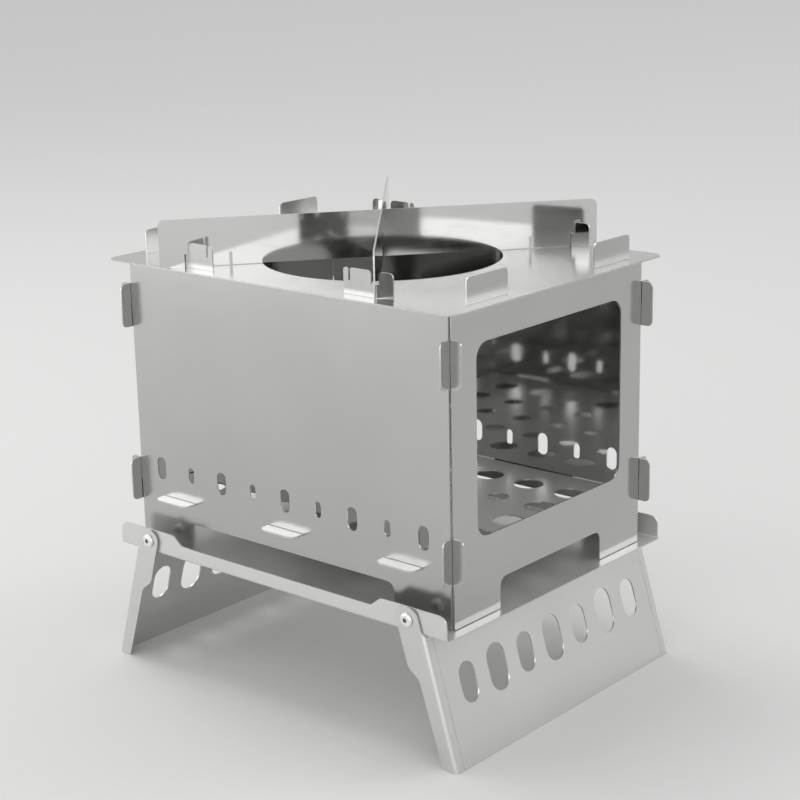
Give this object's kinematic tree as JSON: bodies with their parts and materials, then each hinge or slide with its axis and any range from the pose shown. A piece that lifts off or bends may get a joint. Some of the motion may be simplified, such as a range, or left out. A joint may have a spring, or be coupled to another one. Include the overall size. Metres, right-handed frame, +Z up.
{
  "type": "folding wood stove",
  "caption": "Flat-pack stainless steel camp stove: slotted sheet walls, fire grate, top plate with pot hole and crossed pot supports, on a tray with folding splayed legs.",
  "frame": {"origin": "on the ground, under the middle of the stove, at the bottom centre of the bounding box", "axes": "+Z up; +X along the stove's long side, towards the end wall with the fuel window; +Y towards the back long wall"},
  "size_m": [0.3116, 0.2426, 0.3188],
  "materials": {
    "polished_sheet": "mirror polished stainless steel",
    "satin_sheet": "satin stainless steel",
    "rivet": "bright",
    "rivet_pin": "dull, broken end"
  },
  "bodies": {
    "tray": {"tray": "satin_sheet", "rivet_front_window": "rivet", "rivet_front_closed": "rivet", "rivet_back_window": "rivet", "rivet_back_closed": "rivet", "rivet_pin_front_window": "rivet_pin", "rivet_pin_front_closed": "rivet_pin", "rivet_pin_back_window": "rivet_pin", "rivet_pin_back_closed": "rivet_pin", "washer_front_window": "satin_sheet", "washer_front_closed": "satin_sheet", "washer_back_window": "satin_sheet", "washer_back_closed": "satin_sheet"},
    "leg_window_end": {"leg_frame_window_end": "satin_sheet"},
    "leg_closed_end": {"leg_frame_closed_end": "satin_sheet"},
    "end_walls": {"end_wall_window": "polished_sheet", "end_wall_closed": "polished_sheet"},
    "long_walls": {"long_wall_front": "polished_sheet", "long_wall_back": "polished_sheet", "fire_grate": "satin_sheet"},
    "top_plate": {"top_plate": "satin_sheet"},
    "pot_support_lower": {"pot_support_lower": "satin_sheet"},
    "pot_support_upper": {"pot_support_upper": "satin_sheet"}
  },
  "joints": [
    {"name": "window_end_leg_fold", "type": "hinge", "parent": "tray", "child": "leg_window_end", "pos_m": [0.1172, 0, 0.0927], "axis": [0, 1, 0], "range_deg": [0, 106.6]},
    {"name": "closed_end_leg_fold", "type": "hinge", "parent": "tray", "child": "leg_closed_end", "pos_m": [-0.1172, 0, 0.0927], "axis": [0, -1, 0], "range_deg": [0, 106.6]},
    {"name": "walls_lift_off_tray", "type": "slide", "parent": "tray", "child": "end_walls", "axis": [0, 0, 1], "range_m": [0, 0.025]},
    {"name": "long_walls_lift_off_hooks", "type": "slide", "parent": "end_walls", "child": "long_walls", "axis": [0, 0, 1], "range_m": [0, 0.02]},
    {"name": "top_plate_lift", "type": "slide", "parent": "long_walls", "child": "top_plate", "axis": [0, 0, 1], "range_m": [0, 0.025]},
    {"name": "lower_support_lift", "type": "slide", "parent": "top_plate", "child": "pot_support_lower", "axis": [0, 0, 1], "range_m": [0, 0.015]},
    {"name": "upper_support_lift", "type": "slide", "parent": "pot_support_lower", "child": "pot_support_upper", "axis": [0, 0, 1], "range_m": [0, 0.02]}
  ]
}
